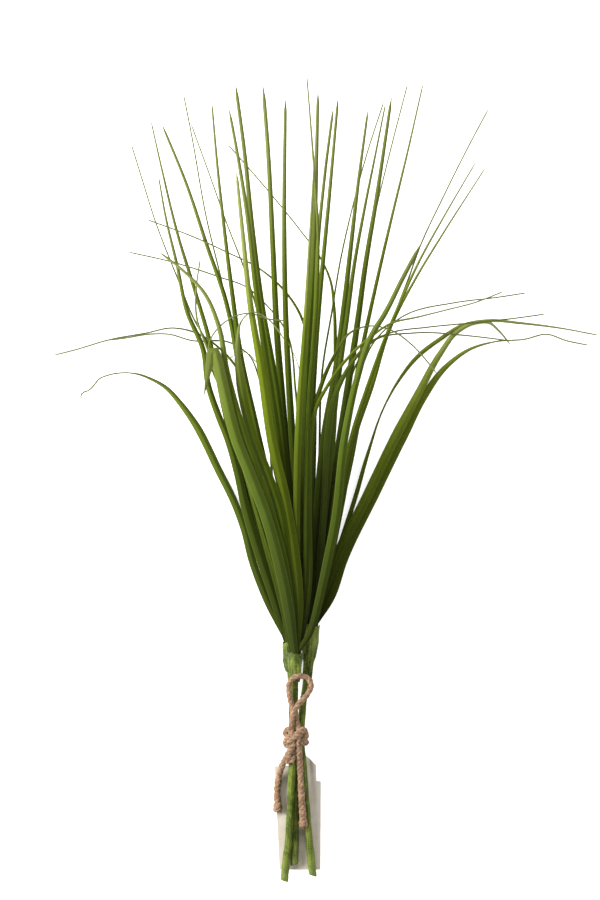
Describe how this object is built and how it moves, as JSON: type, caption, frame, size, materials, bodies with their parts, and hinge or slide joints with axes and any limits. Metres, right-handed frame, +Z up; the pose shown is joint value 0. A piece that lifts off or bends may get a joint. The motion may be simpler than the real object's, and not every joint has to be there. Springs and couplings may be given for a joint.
{
  "type": "bunch of reeds",
  "caption": "Bunch of long artificial reed leaves on tape-wound wire stems, tied with jute twine in a knot with a loop and loose tails, with a blank tag, lying on a surface.",
  "frame": {"origin": "on the surface that the bunch lies on, below the middle of its overall box", "axes": "+Y along the bunch from the cut stem ends to the leaf tips, +X across it, +Z up from the surface"},
  "size_m": [0.4392, 0.6444, 0.1218],
  "materials": {
    "leaf": "satin printed leaf film with fine lengthwise veins",
    "tape": "creased waxed floral tape",
    "jute": "rough twisted jute with stray fibres",
    "tag": "blank translucent matt paper"
  },
  "bodies": {
    "root": {"stem_back": "tape", "stem_right": "tape", "stem_front": "tape", "collar_back": "tape", "collar_right": "tape", "collar_front": "tape", "leaf_back_01": "leaf", "leaf_back_02": "leaf", "leaf_back_03": "leaf", "leaf_back_04": "leaf", "leaf_back_05": "leaf", "leaf_back_06": "leaf", "leaf_back_07": "leaf", "leaf_back_08": "leaf", "leaf_back_09": "leaf", "leaf_back_10": "leaf", "leaf_back_11": "leaf", "leaf_back_12": "leaf", "leaf_back_13": "leaf", "leaf_right_01": "leaf", "leaf_right_02": "leaf", "leaf_right_03": "leaf", "leaf_right_04": "leaf", "leaf_right_05": "leaf", "leaf_right_06": "leaf", "leaf_right_07": "leaf", "leaf_right_08": "leaf", "leaf_right_09": "leaf", "leaf_right_10": "leaf", "leaf_right_11": "leaf", "leaf_right_12": "leaf", "leaf_right_13": "leaf", "leaf_right_14": "leaf", "leaf_right_15": "leaf", "leaf_right_16": "leaf", "leaf_right_17": "leaf", "leaf_right_18": "leaf", "leaf_right_19": "leaf", "leaf_front_01": "leaf", "leaf_front_02": "leaf", "leaf_front_03": "leaf", "leaf_front_04": "leaf", "leaf_front_05": "leaf", "leaf_front_06": "leaf", "leaf_front_07": "leaf", "leaf_front_08": "leaf", "leaf_front_09": "leaf", "leaf_front_10": "leaf", "leaf_front_11": "leaf", "leaf_front_12": "leaf", "leaf_front_13": "leaf", "leaf_front_14": "leaf", "twine_wrap": "jute", "twine_knot": "jute", "twine_loop": "jute", "twine_tail_left": "jute", "twine_tail_right": "jute", "tag_lower_leaf": "tag", "tag_upper_leaf": "tag"}
  },
  "joints": []
}
